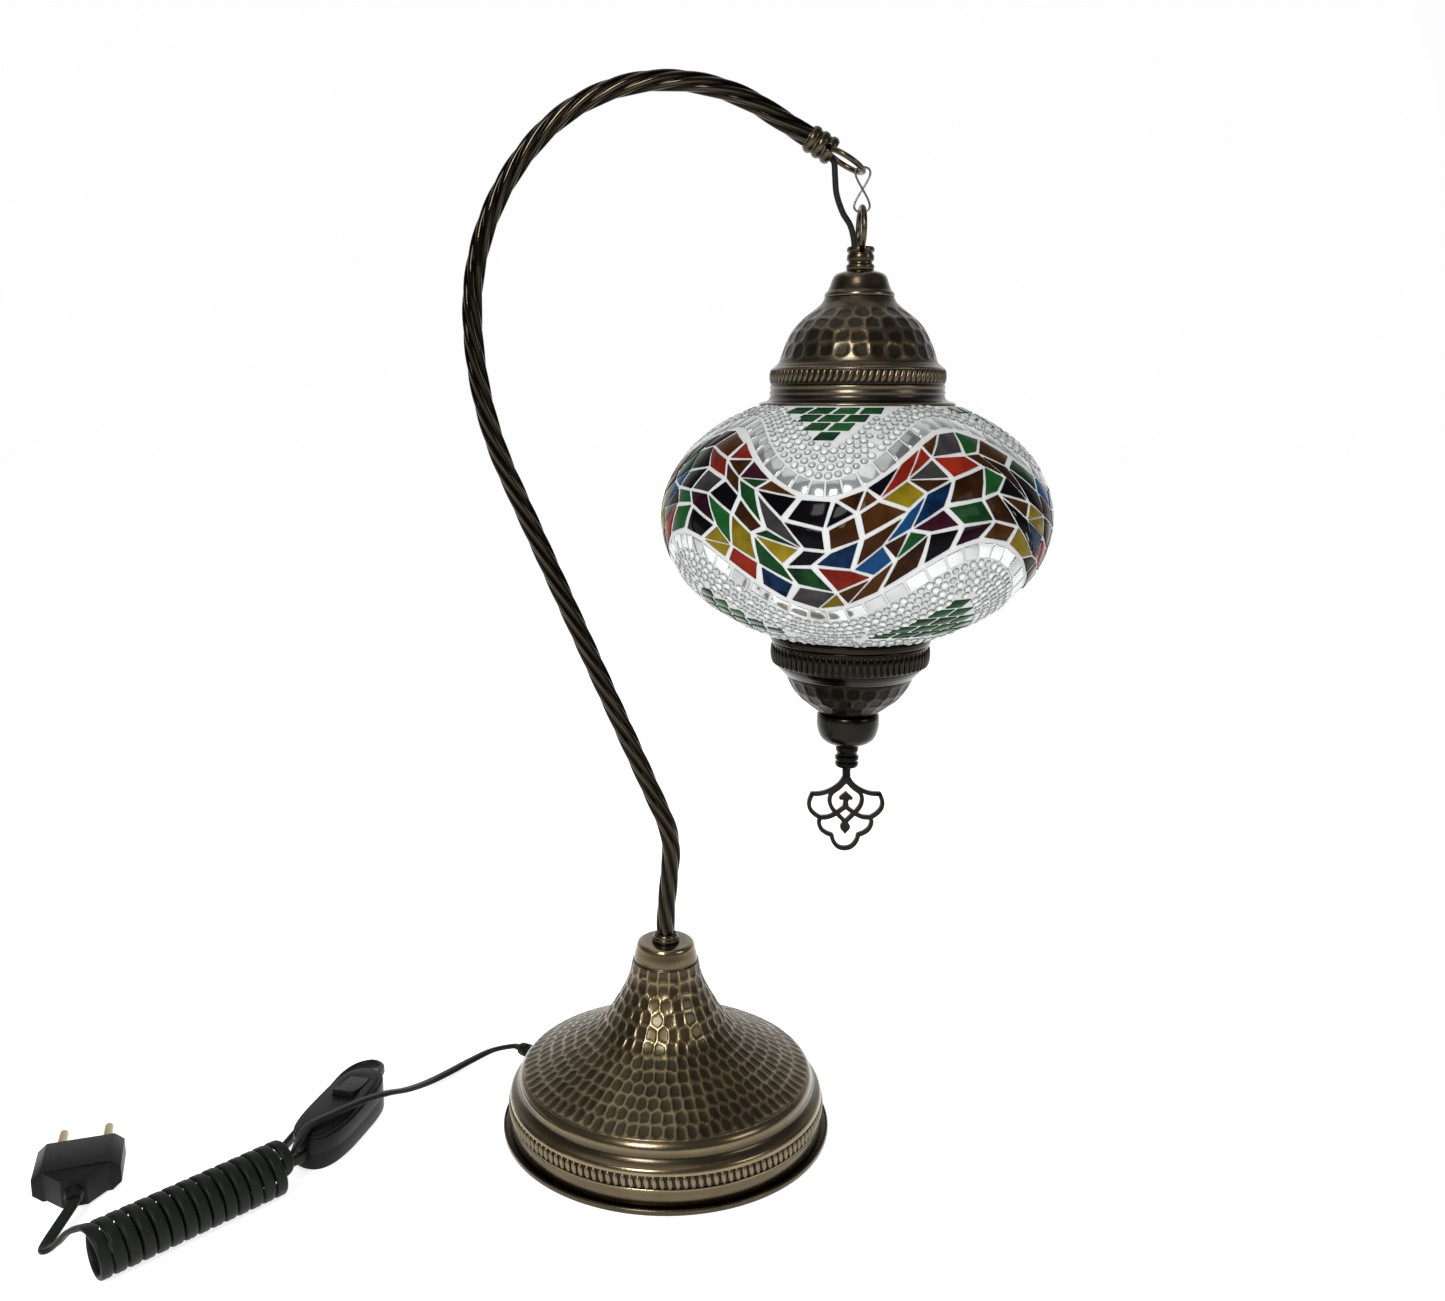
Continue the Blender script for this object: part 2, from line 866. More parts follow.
def softened(
    frame: dict, node: str, finish: Finish, body: Body, width: float
) -> bpy.types.Object:
    """Copies a CAD node with its edges rounded, in place of the node.

    Args:
        frame: The loaded frame.
        node: The CAD node's name.
        finish: Its finish.
        body: The body that it rides on.
        width: Width of the rounding, in millimetres.

    Returns:
        The piece that stands for the node.
    """
    same_place = 2e-6
    flat, rounded, sharp = (math.radians(angle) for angle in (1.0, 35.0, 40.0))
    name = node + "_soft"
    work = bmesh.new()
    work.from_mesh(frame["nodes"][node].data)
    bmesh.ops.remove_doubles(work, verts=work.verts, dist=same_place)
    bmesh.ops.dissolve_limit(work, angle_limit=flat, verts=work.verts, edges=work.edges)
    mesh = bpy.data.meshes.new(name)
    work.to_mesh(mesh)
    work.free()
    made = add_object(name, mesh)
    rounding = made.modifiers.new("edges", "BEVEL")
    rounding.width = width * MM
    rounding.segments = 2
    rounding.limit_method = "ANGLE"
    rounding.angle_limit = rounded
    rounding.harden_normals = False
    bake(made).set_sharp_from_angle(angle=sharp)
    dress(made, finish, body)
    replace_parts(made, node)
    return made


def tint_islands(piece: bpy.types.Object, seed: int) -> None:
    """Stores one random tint for each separate island of a mesh.

    Args:
        piece: The piece.
        seed: Seed of the tints.
    """
    work = bmesh.new()
    work.from_mesh(piece.data)
    rng = np.random.default_rng(seed)
    tint = np.full(len(work.verts), -1.0)
    for start in work.verts:
        if tint[start.index] >= 0:
            continue
        value = rng.random()
        waiting = [start]
        tint[start.index] = value
        while waiting:
            for edge in waiting.pop().link_edges:
                for vert in edge.verts:
                    if tint[vert.index] < 0:
                        tint[vert.index] = value
                        waiting.append(vert)
    work.free()
    store(piece, "tint", tint)


# Spun sheet


@dataclass(frozen=True)
class Lathe:
    """A spun sheet: an outer profile from the bottom up, in millimetres, with its wall inside it."""

    profile: Profile
    wall: float = 1.0
    segments: int = 128
    step: float = 1.5
    axis_x: float = 0.0
    base_z: float = 0.0
    least_r: float = 0.3
    flat_wear: float = 0.30
    bend_wear: float = 1.1
    spread: tuple[float, ...] = (0.1, 0.2, 0.4, 0.2, 0.1)

    def wear(self, outer: np.ndarray) -> np.ndarray:
        """Wear that is high where the sheet bends outwards, and even all round.

        Args:
            outer: Points of the outer profile.

        Returns:
            The wear by row and column.
        """
        before, after = beside(tangents(outer))
        bend = before[:, 0] * after[:, 1] - before[:, 1] * after[:, 0]
        bend = np.convolve(np.pad(bend, len(self.spread) // 2, mode="edge"), self.spread, mode="valid")
        return np.repeat(np.clip(self.flat_wear + self.bend_wear * bend, 0.0, 1.0)[:, None], self.segments, 1)

    def build(self, name: str, relief: Relief | None = None) -> bpy.types.Object:
        """Spins the sheet.

        Args:
            name: The piece's name.
            relief: Gives the lift, in millimetres, and the wear from distance along, turn and radius.

        Returns:
            A closed shell with a wear attribute.
        """
        corners = np.asarray(self.profile, float)
        outer = even_steps(corners, self.step)
        inner = (corners - self.wall * profile_outward(corners))[::-1]
        inner[:, 0] = np.maximum(inner[:, 0], self.least_r)
        turn = round_angles(self.segments)
        if relief:
            lift, wear = relief(distances(outer), turn, outer[:, 0])
        else:
            lift, wear = np.zeros((len(outer), self.segments)), self.wear(outer)
        face = outer[:, None] + lift[..., None] * profile_outward(outer)[:, None]
        shell = np.vstack([face, np.repeat(inner[:, None], self.segments, 1)])
        r, z = shell[..., 0], shell[..., 1]
        verts = np.stack([self.axis_x + r * np.cos(turn), r * np.sin(turn), self.base_z + z], 2)
        made = mesh_object(name, verts * MM, grid_faces(len(shell), self.segments, True))
        store(made, "wear", np.vstack([wear, np.zeros((len(inner), self.segments))]))
        return made


@dataclass(frozen=True)
class Hammering:
    """Staggered rows of hammer marks along a spun profile.

    Attributes:
        first: Distance of the first row's middle along the profile, in millimetres.
        pitch: Distance between two rows.
        rows: Number of rows.
        width: Width of a mark's cell.
        depth: Depth of a mark.
        seed: Seed of the marks' small shifts.
        web: Width of the slope from the web into a mark, as a share of the cell.
        reach: Radius of a mark, as a share of the cell.
        shine: Wear of the web between the marks.
        stray: Greatest shift of a mark, as a share of the cell.
        edge: Width of the slope at the rows' outer edge, as a share of the cell.
        crest: Half width of the web's flat top, as a share of the cell.
        plain_wear: Wear of the sheet beyond the rows.
    """

    first: float
    pitch: float
    rows: int
    width: float
    depth: float
    seed: int
    web: float = 0.16
    reach: float = 0.58
    shine: float = 0.95
    stray: float = 0.10
    edge: float = 0.12
    crest: float = 0.05
    plain_wear: float = 0.42

    def nearest(self, along: np.ndarray, turn: np.ndarray, radius: np.ndarray) -> Pair:
        """Distances to the nearest mark and to the next one, as shares of the cell.

        Args:
            along: Distance of each row of points along the profile.
            turn: Angle of each column of points.
            radius: Radius of each row of points.

        Returns:
            The two distances, by row and column.
        """
        rng = np.random.default_rng(self.seed)
        row_squeeze, far, least_count = 0.866, 9.0, 8
        near, next_near = np.full((2, len(along), len(turn)), far)
        for k in range(self.rows):
            middle = self.first + self.pitch * k
            ring = float(np.interp(middle, along, radius))
            count = max(least_count, round(2 * math.pi * ring / self.width))
            shift = rng.uniform(-self.stray, self.stray, (count, 2))
            place = turn / (2 * math.pi) * count + 0.5 * (k % 2)
            for side in (-1, 0, 1):
                cell = np.floor(place).astype(int) + side
                across = place - cell - 0.5 + shift[cell % count, 0]
                down = (along[:, None] - middle) / self.pitch + shift[cell % count, 1][None, :]
                gap = np.hypot(across[None, :], row_squeeze * down)
                next_near = np.minimum(next_near, np.maximum(near, gap))
                near = np.minimum(near, gap)
        return near, next_near

    def relief(self, along: np.ndarray, turn: np.ndarray, radius: np.ndarray) -> Pair:
        """Lift and wear of the marks.

        Args:
            along: Distance of each row of points along the profile.
            turn: Angle of each column of points.
            radius: Radius of each row of points.

        Returns:
            The lift in millimetres and the wear, by row and column.
        """
        near, next_near = self.nearest(along, turn, radius)
        inside = np.clip((self.reach - near) / self.edge, 0, 1)
        web = 1 - np.clip((next_near - near - self.crest) / self.web, 0, 1)
        mark = inside * (1 - web)
        mark = mark * mark * (3 - 2 * mark)
        bowl = 1 - np.clip(near / self.reach, 0, 1) ** 2
        foot = self.first - 0.5 * self.pitch
        rows = (along > foot) & (along < foot + self.pitch * self.rows)
        wear = np.where(rows[:, None], self.shine, self.plain_wear) * (1 - mark)
        return -self.depth * mark * (0.5 + 0.5 * bowl), wear


# What repeats


def bake_tree(
    name: str, tree: bpy.types.NodeTree, values: dict[str, Any], source: bpy.types.Mesh | None = None
) -> bpy.types.Object:
    """Runs a geometry tree once and keeps its result as a plain mesh.

    Args:
        name: The piece's name.
        tree: The geometry tree.
        values: Values of its named inputs.
        source: Mesh that the tree starts from.

    Returns:
        The finished object, with no modifier.
    """
    made = add_object(name, source or bpy.data.meshes.new(name))
    modifier = made.modifiers.new("tree", "NODES")
    modifier.node_group = tree
    for item in tree.interface.items_tree:
        if item.item_type == "SOCKET" and item.in_out == "INPUT" and item.name in values:
            modifier[item.identifier] = values[item.name]
    bake(made)
    return made


class GeometryTree(Graph):
    """A geometry tree with named inputs and one geometry output."""

    def __init__(self, name: str, sockets: dict[str, str]) -> None:
        """Starts the tree.

        Args:
            name: The tree's name.
            sockets: Kind of each input, by its name.
        """
        super().__init__(bpy.data.node_groups.new(name, "GeometryNodeTree"))
        for label, kind in {**sockets, "Material": "Material"}.items():
            self.tree.interface.new_socket(label, in_out="INPUT", socket_type="NodeSocket" + kind)
        self.tree.interface.new_socket("Geometry", in_out="OUTPUT", socket_type="NodeSocketGeometry")
        self.given = self.node("NodeGroupInput")
        self.end = self.node("NodeGroupOutput")

    def mark(self, geometry: Value, domain: str, name: str, value: Value) -> Value:
        """Stores a number on a geometry.

        Args:
            geometry: The geometry.
            domain: Point or instance.
            name: The number's name.
            value: The number.

        Returns:
            The geometry with the number.
        """
        settings = {"data_type": "FLOAT", "domain": domain}
        wanted = {"Geometry": geometry, "Name": name, "Value": value}
        return self.node("GeometryNodeStoreNamedAttribute", settings, wanted).out()

    def transform(self, geometry: Value, how: str, by: Value) -> Value:
        """Moves or scales a geometry."""
        return self.node("GeometryNodeTransform", {}, {"Geometry": geometry, how: by}).out()

    def ball(self, segments: int, rings: int) -> Value:
        """A ball one metre wide."""
        wanted = {"Segments": segments, "Rings": rings, "Radius": 0.5}
        return self.node("GeometryNodeMeshUVSphere", {}, wanted).out("Mesh")

    def position(self) -> Made:
        """The X, Y and Z of each point, as outputs."""
        return self.parts(self.node("GeometryNodeInputPosition").out())

    def random(self, low: float, high: float) -> Value:
        """A random number for each point, by the tree's seed."""
        wanted = {2: low, 3: high, "Seed": self.given.out("Seed")}
        return self.node("FunctionNodeRandomValue", {"data_type": "FLOAT"}, wanted).out(1)

    def realize(self, geometry: Value) -> Value:
        """Makes instances real."""
        return self.node("GeometryNodeRealizeInstances", {}, {"Geometry": geometry}).out()

    def close(self, geometry: Value) -> bpy.types.NodeTree:
        """Sets the material and ends the tree.

        Args:
            geometry: The tree's result.

        Returns:
            The tree, ready for use.
        """
        wanted = {"Geometry": geometry, "Material": self.given.out("Material")}
        self.feed(self.end.node, {0: self.node("GeometryNodeSetMaterial", {}, wanted).out()})
        return self.tree


def gadroon_tree() -> bpy.types.NodeTree:
    """Ring of leaning lobes on a band.

    Returns:
        The tree, with its sizes in metres and the lean in radians.
    """
    sizes = ("Radius", "Height", "Width", "Length", "Proud", "Lean", "Axis")
    tree = GeometryTree("gadroon_ring", {"Count": "Int", **{size: "Float" for size in sizes}})
    count = tree.given.out("Count")
    radius, height, width, length, proud, lean, axis = (tree.given.out(size) for size in sizes)
    circle = tree.node("GeometryNodeMeshCircle", {}, {"Vertices": count, "Radius": radius})
    lobe = tree.transform(tree.ball(8, 6), "Scale", tree.vector(proud * 2.0, width, length))
    angle = tree.node("GeometryNodeInputIndex").out() * (2 * math.pi) / count
    wanted = {"Points": circle.out("Mesh"), "Instance": lobe, "Rotation": tree.vector(x=lean, z=angle)}
    ring = tree.realize(tree.node("GeometryNodeInstanceOnPoints", {}, wanted).out())
    where = tree.position()
    reach = (where.out("X") ** 2.0 + where.out("Y") ** 2.0) ** 0.5
    marked = tree.mark(ring, "POINT", "wear", ((reach - radius) / proud).between(0.1, 0.95))
    return tree.close(tree.transform(marked, "Translation", tree.vector(x=axis, z=height)))


def bead_tree() -> bpy.types.NodeTree:
    """Seed beads on points, each along the point's outward direction.

    Returns:
        The tree, with the bead's size in metres.
    """
    tree = GeometryTree(
        "seed_bead_rows", {"Geometry": "Geometry", "Size": "Float", "Flatness": "Float", "Seed": "Int"})
    domed = tree.mark(tree.ball(8, 5), "POINT", "dome", tree.position().out("Z").between(0.0, 0.5))
    bead = tree.transform(domed, "Scale", tree.vector(1.0, 1.0, tree.given.out("Flatness")))
    outward = tree.node("GeometryNodeInputNamedAttribute", {"data_type": "FLOAT_VECTOR"}, {"Name": "outward"})
    facing = tree.node(
        "FunctionNodeAlignRotationToVector", {"axis": "Z"}, {"Vector": outward.out("Attribute")})
    wanted = {
        "Points": tree.given.out("Geometry"), "Instance": bead, "Rotation": facing.out(),
        "Scale": tree.random(0.84, 1.06) * tree.given.out("Size"),
    }
    rows = tree.node("GeometryNodeInstanceOnPoints", {}, wanted).out()
    return tree.close(tree.realize(tree.mark(rows, "INSTANCE", "tint", tree.random(0.0, 1.0))))


@dataclass(frozen=True)
class Gadroons:
    """Ring of small lobes, with sizes in millimetres and the lean in degrees."""

    count: int
    radius: float
    height: float
    width: float
    length: float
    proud: float
    lean: float = 0.0
    axis_x: float = 0.0

    def build(self, name: str, tree: bpy.types.NodeTree, finish: Finish, body: Body) -> bpy.types.Object:
        """Makes the ring.

        Args:
            name: The piece's name.
            tree: The lobes' geometry tree.
            finish: The lobes' finish.
            body: The body that they ride on.

        Returns:
            The ring, dressed.
        """
        values = {
            "Count": self.count, "Radius": self.radius * MM, "Height": self.height * MM,
            "Width": self.width * MM, "Length": self.length * MM, "Proud": self.proud * MM,
            "Lean": math.radians(self.lean), "Axis": self.axis_x * MM, "Material": finish.material(),
        }
        return dress(bake_tree(name, tree, values), finish, body)


# Sub-assemblies, with sizes in millimetres and angles in degrees


@dataclass
class Base:
    """Hammered bell on its pan, with the ferrule at its top."""

    bell_h: float = 88.8
    band_r: float = 71.5
    band_low: float = 10.4
    band_high: float = 16.0
    band_sink: float = 0.3
    hammering: Hammering = Hammering(
        first=4.4, pitch=6.3, rows=12, width=5.1, depth=0.45, seed=5, web=0.15, reach=0.57, shine=0.85)

    def foot_profile(self) -> Profile:
        """Foot under the band of lobes.

        Returns:
            The profile, from the bottom up.
        """
        r = self.band_r
        return [
            (r, 2.6), (r, 9.0), (r + 0.15, 9.5), (r + 0.25, 9.9), (r + 0.1, 10.2),
            (r - self.band_sink, self.band_low),
        ]

    def band_profile(self) -> Profile:
        """Sunk band behind the lobes."""
        return [(self.band_r - self.band_sink, z) for z in (self.band_low, self.band_high)]

    def rim_profile(self) -> Profile:
        """Bead over the band, cove and rounded rim.

        Returns:
            The profile, from the bottom up.
        """
        r = self.band_r
        bead = [(r - self.band_sink, self.band_high), (r + 0.1, 16.2), (r + 0.25, 16.6), (r + 0.1, 17.2)]
        return bead + curved([
            (r - 0.1, 18.0), (r - 0.7, 18.9), (r - 2.3, 19.9), (r - 3.7, 21.3), (r - 4.2, 22.8),
            (r - 4.2, 24.4), (r - 4.5, 25.7), (r - 5.2, 27.0), (r - 6.4, 28.2),
        ])

    def slope_profile(self) -> Profile:
        """Hammered slope from the rim up to the collar.

        Returns:
            The profile, from the bottom up.
        """
        r, h = self.band_r, self.bell_h
        return curved([
            (r - 6.4, 28.2), (r - 17.5, 34.0), (r - 34.5, 43.5), (29.0, 50.0), (23.0, 59.3), (19.0, 66.6),
            (16.5, h - 16.0), (15.0, h - 8.9),
        ], 8)

    def collar_profile(self) -> Profile:
        """Stepped collar and the flat top.

        Returns:
            The profile, from the bottom up.
        """
        h = self.bell_h
        return [
            (15.0, h - 8.9), (14.5, h - 8.7), (14.2, h - 8.3), (14.35, h - 7.7), (13.9, h - 5.4),
            (12.95, h - 1.4), (12.6, h - 0.7), (12.0, h - 0.2), (11.2, h), (4.4, h),
        ]

    def lobes(self) -> Gadroons:
        """Lobes on the band."""
        return Gadroons(
            count=138, radius=self.band_r - 0.45, height=13.2, width=3.0, length=7.0, proud=1.4, lean=9.0)

    def build(self, frame: dict, trees: dict[str, bpy.types.NodeTree]) -> None:
        """Makes the base's pieces.

        Args:
            frame: The loaded frame.
            trees: The geometry trees.
        """
        spun = (
            ("bell_foot", self.foot_profile(), 192, PLAIN_BRASS),
            ("bell_band", self.band_profile(), 192, GROOVE),
            ("bell_rim", self.rim_profile(), 192, PLAIN_BRASS),
            ("bell_collar", self.collar_profile(), 128, PLAIN_BRASS),
        )
        for name, profile, segments, finish in spun:
            made = Lathe(profile, segments=segments, step=0.8).build(name)
            dress(made, finish, Body.STAND)
        sheet = Lathe(self.slope_profile(), segments=480, step=0.75)
        slope = sheet.build("bell_slope", self.hammering.relief)
        dress(slope, HAMMERED, Body.STAND)
        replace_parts(slope, "base_bell")
        self.lobes().build("bell_lobes", trees["gadroons"], LOBE_BRASS, Body.STAND)
        softened(frame, "base_pan", PLAIN_BRASS, Body.STAND, 0.3)
        softened(frame, "foot_ferrule", PLAIN_BRASS, Body.STAND, 0.2)
        softened(frame, "strain_relief", CORD_COVER, Body.STAND, 0.2)


@dataclass
class SwanNeck:
    """Twisted tube from the base over to the shade, with its collar.

    Attributes:
        runs: Length and turn of each stretch of the tube, from the foot on.
    """

    tube_d: float = 8.4
    flutes: int = 6
    flute_lead: float = 90.0
    flute_depth: float = 0.9
    flute_power: float = 1.1
    foot_z: float = 68.0
    step: float = 1.5
    sides: int = 48
    runs: tuple[tuple[float, float], ...] = (
        (27, 0), (12, -5), (20, 0), (21, 28.5), (163.5, 0), (67.7, -23.5), (78.5, -45), (56.5, -45),
        (42.2, -31), (26, 0))

    def stations(self) -> np.ndarray:
        """Walks along the tube.

        Returns:
            Rows of x, z, heading in radians and distance along the tube.
        """
        x, z, heading, total = 0.0, self.foot_z, math.pi / 2, 0.0
        out = []
        for length, turn in self.runs:
            bend = math.radians(turn) / length
            count = math.ceil(length / self.step)
            for s in length * np.arange(count) / count:
                out.append((*self._walk(x, z, heading, bend, s), heading + bend * s, total + s))
            x, z = self._walk(x, z, heading, bend, length)
            heading += bend * length
            total += length
        out.append((x, z, heading, total))
        return np.array(out)

    @staticmethod
    def _walk(x: float, z: float, heading: float, bend: float, s: float) -> tuple[float, float]:
        """Place after a walk on an even bend.

        Args:
            x: Start along X.
            z: Start along Z.
            heading: Direction at the start, in radians.
            bend: Turn per millimetre, in radians.
            s: Distance.

        Returns:
            The place's x and z.
        """
        if bend == 0:
            return x + s * math.cos(heading), z + s * math.sin(heading)
        far = heading + bend * s
        return x + (math.sin(far) - math.sin(heading)) / bend, z - (math.cos(far) - math.cos(heading)) / bend

    def tip(self) -> Point:
        """X, Z and heading in radians at the tube's tip."""
        return tuple(self.stations()[-1, :3])

    def build(self, frame: dict) -> None:
        """Makes the tube and dresses its collar.

        Args:
            frame: The loaded frame.
        """
        x, z, heading, along = self.stations().T[..., None]
        turn = round_angles(self.sides)
        lobe = np.abs(np.cos(0.5 * self.flutes * turn))
        radius = self.tube_d / 2 - self.flute_depth * (1 - lobe) ** self.flute_power
        a = turn + 2 * math.pi * along / self.flute_lead
        out = radius * np.cos(a)
        rings = np.stack([x - out * np.sin(heading), radius * np.sin(a), z + out * np.cos(heading)], 2)
        made = tube("twisted_tube", rings[:, ::-1] * MM)
        store(made, "wear", np.tile(lobe[::-1] ** 3, (len(rings), 1)))
        dress(made, NECK_BRASS, Body.STAND)
        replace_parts(made, "swan_neck")
        softened(frame, "end_collar", PLAIN_BRASS, Body.STAND, 0.15)


@dataclass
class Hanging:
    """Wire link and the short lead between the neck and the shade.

    Attributes:
        tip: X, Z and heading in radians at the neck's tip.
        ring_sink: How far the tip's ring sits in the collar.
        gap: Air between two wires that hang in each other.
        eye_lift: Height of the eye's middle over the bush.
        lead_cut: Step of the lead's route at which its two halves meet.
        finer: Steps of the lead's mesh for each step of its route.
    """

    tip: Point
    collar_half: float = 6.0
    ring_r: float = 8.5
    ring_wire: float = 2.3
    ring_sink: float = 2.9
    gap: float = 0.3
    eye_lift: float = 7.1
    link_len: float = 17.5
    link_wire: float = 0.9
    link_half_w: float = 2.75
    link_belly: float = 0.25
    link_cross: float = 0.65
    link_steps: int = 96
    lead_d: float = 2.5
    lead_side: float = 2.65
    lead_steps: int = 3
    lead_cut: int = 11
    finer: int = 3

    @property
    def hook(self) -> tuple[float, float]:
        """Point on the tip's ring where the link hangs.

        Returns:
            The point's x and z.
        """
        x, z, heading = self.tip
        reach = self.collar_half - self.ring_sink + 2 * self.ring_r
        return x + reach * math.cos(heading), z + reach * math.sin(heading)

    @property
    def wire_step(self) -> float:
        """Distance between the middles of two wires that hang in each other."""
        return self.ring_wire / 2 + self.gap + self.link_wire / 2

    @property
    def link_top(self) -> float:
        """Height of the link's top, at the middle of its wire."""
        return self.hook[1] + self.wire_step

    @property
    def shade_top(self) -> float:
        """Height of the top of the shade's bush."""
        return self.link_top - self.link_len + self.wire_step - self.ring_r - self.eye_lift

    def link(self) -> None:
        """Makes the figure-eight link."""
        a = round_angles(self.link_steps)
        line = np.stack([
            self.hook[0] + self.link_half_w * np.sin(2 * a) * (1 + self.link_belly * np.cos(a) ** 2),
            self.link_cross * self.link_wire * np.sin(a),
            self.link_top - self.link_len / 2 + self.link_len / 2 * np.cos(a),
        ], 1)
        along = unit(np.roll(line, -1, 0) - np.roll(line, 1, 0))
        rings = section_rings(line, along, BACKWARD, round_section(self.link_wire, 10))
        made = mesh_object("wire_link", rings * MM, grid_faces(*rings.shape[:2], True))
        dress(made, WIRE, Body.LINK)
        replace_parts(made, "figure_link")

    def lead(self) -> None:
        """Makes the two halves of the lead, which bend with the joints."""
        x, z, _ = self.tip
        lead_x, top = self.hook[0] - self.lead_side, self.shade_top
        route = [
            (x + 3.1, 0, z - 4.4), (x + 5.4, 0, z - 6.6), (x + 6, 0, z - 12), (x + 6.8, 0, z - 19),
            (x + 9.4, 0, z - 26), (lead_x - 1.9, 0, top + 8.5), (lead_x - 0.3, 0, top + 3),
            (lead_x, 0, top - 1), (lead_x, 0, top - 6),
        ]
        points = smooth_curve(route, self.lead_steps * self.finer)
        cut = self.lead_cut * self.finer
        halves = (
            ("lead_top", points[:cut + 1], "lead_upper", Body.STAND, Body.LINK),
            ("lead_foot", points[cut:], "lead_lower", Body.LINK, Body.SHADE),
        )
        for name, p, node, first, second in halves:
            made = tube(name, section_rings(p, tangents(p), BACKWARD, round_section(self.lead_d, 14)) * MM)
            cover(made, CORD_COVER)
            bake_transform(made)
            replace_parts(made, node)
            LOG.info("%s bends from %s to %s", name, first.value, second.value)

    def build(self) -> None:
        """Makes the link and the lead."""
        self.link()
        self.lead()


@dataclass
class Shade:
    """Mosaic globe between its two embossed caps, with the finial under it.

    Attributes:
        axis_x: X of the shade's axis.
        top: Height of the bush's top, which the shade's heights start from.
        mid: Height of the globe's widest place.
        wave_peak: Turn of the band's highest place, from the front.
        band_mid: Angle of the band's middle above the globe's, with the swing and half width of its wave.
        border_gap: Angle between the band and its mirrors, and then the mirrors' own angle.
        bead_first: Distance of the first row of beads from the mirrors.
        bead_reach: Angles at which the rows end, above and below.
        leaf_up: Angle of the upper leaves' broad end, and then of the lower ones'.
        leaf_rows: Rows of tiles in an upper and in a lower leaf.
    """

    axis_x: float
    top: float
    globe_r: float = 82.0
    mid: float = -110.6
    up: float = 54.5
    down: float = 54.8
    waves: int = 4
    wave_peak: float = 28.0
    band_mid: float = 6.3
    band_swing: float = 15.2
    band_half: float = 22.7
    border_gap: float = 1.3
    mirror_up: float = 6.6
    paste_depth: float = 0.52
    paste_low_r: float = 30.5
    paste_high_r: float = 37.0
    bead: float = 3.7
    bead_flatness: float = 0.62
    bead_depth: float = 0.72
    bead_apart: float = 0.78
    bead_pitch: float = 3.6
    bead_first: float = 2.1
    bead_rows: int = 14
    bead_reach: tuple[float, float] = (61.0, 64.0)
    bead_seed: int = 3
    row_depth: float = 0.6
    row_seed: int = 8
    leaf_up: float = 59.0
    leaf_down: float = -52.5
    leaf_rows: tuple[int, int] = (4, 5)
    leaf_step: float = 5.0
    leaf_spread: float = 6.4
    leaf_edge: float = 0.42

    @property
    def period(self) -> float:
        """Turn of one wave."""
        return 360.0 / self.waves

    def spot(self, turn: np.ndarray, up: np.ndarray, depth: float) -> np.ndarray:
        """Places on the globe.

        Args:
            turn: Turn from the front.
            up: Angle above the globe's middle.
            depth: Depth under the globe's outside.

        Returns:
            The places, in millimetres.
        """
        t, u = np.radians(turn), np.radians(up)
        b = np.where(np.asarray(up) > 0, self.up, self.down) - depth
        r = (self.globe_r - depth) * np.cos(u)
        z = self.top + self.mid + b * np.sin(u)
        return np.stack([self.axis_x + r * np.sin(t), -r * np.cos(t), z], -1)

    def outward(self, turn: np.ndarray, up: np.ndarray) -> np.ndarray:
        """Outward directions on the globe.

        Args:
            turn: Turn from the front.
            up: Angle above the globe's middle.

        Returns:
            The directions.
        """
        t, u = np.radians(turn), np.radians(up)
        b = np.where(np.asarray(up) > 0, self.up, self.down)
        flat = np.cos(u) / self.globe_r
        return unit(np.stack([flat * np.sin(t), -flat * np.cos(t), np.sin(u) / b], -1))

    def paste(self) -> None:
        """Makes the white paste that the tiles are set in."""
        radius = self.globe_r - self.paste_depth
        low, high = (math.acos(r / radius) for r in (self.paste_low_r, self.paste_high_r))
        angles = np.linspace(-low, high, 72)
        b = np.where(angles > 0, self.up, self.down) - self.paste_depth
        profile = np.stack([radius * np.cos(angles), self.mid + b * np.sin(angles)], 1)
        made = Lathe(profile, 0.9, 160, 2.0, self.axis_x, self.top).build("globe_paste")
        dress(made, PASTE, Body.SHADE)
        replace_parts(made, "grout")

    def tiles(self, frame: dict) -> None:
        """Rounds the edges of the cut glass and the mirrors.

        Args:
            frame: The loaded frame.
        """
        glass_seed, mirror_seed = 40, 60
        for seed, (node, finish) in enumerate(GLASS.items(), glass_seed):
            tint_islands(softened(frame, node, finish, Body.SHADE, 0.32), seed)
        for seed, node in enumerate(("mirror_upper", "mirror_lower"), mirror_seed):
            tint_islands(softened(frame, node, MIRRORS, Body.SHADE, 0.28), seed)

    def border(self, turn: np.ndarray, sign: int) -> Pair:
        """Outer border of a row of mirrors, square to the band's wave.

        Args:
            turn: Turns along the band.
            sign: One above the band, minus one below it.

        Returns:
            The border's turns and angles.
        """
        wave = np.radians(self.waves * (turn - self.wave_peak))
        up = self.band_mid + self.band_swing * np.cos(wave) + sign * self.band_half
        wide = self.globe_r * np.cos(np.radians(up)) / self.up
        slope = -self.band_swing * math.radians(self.waves) * np.sin(wave) / wide
        reach = sign * (self.border_gap + self.mirror_up) / np.sqrt(1 + slope * slope)
        return turn - reach * slope / wide, up + reach

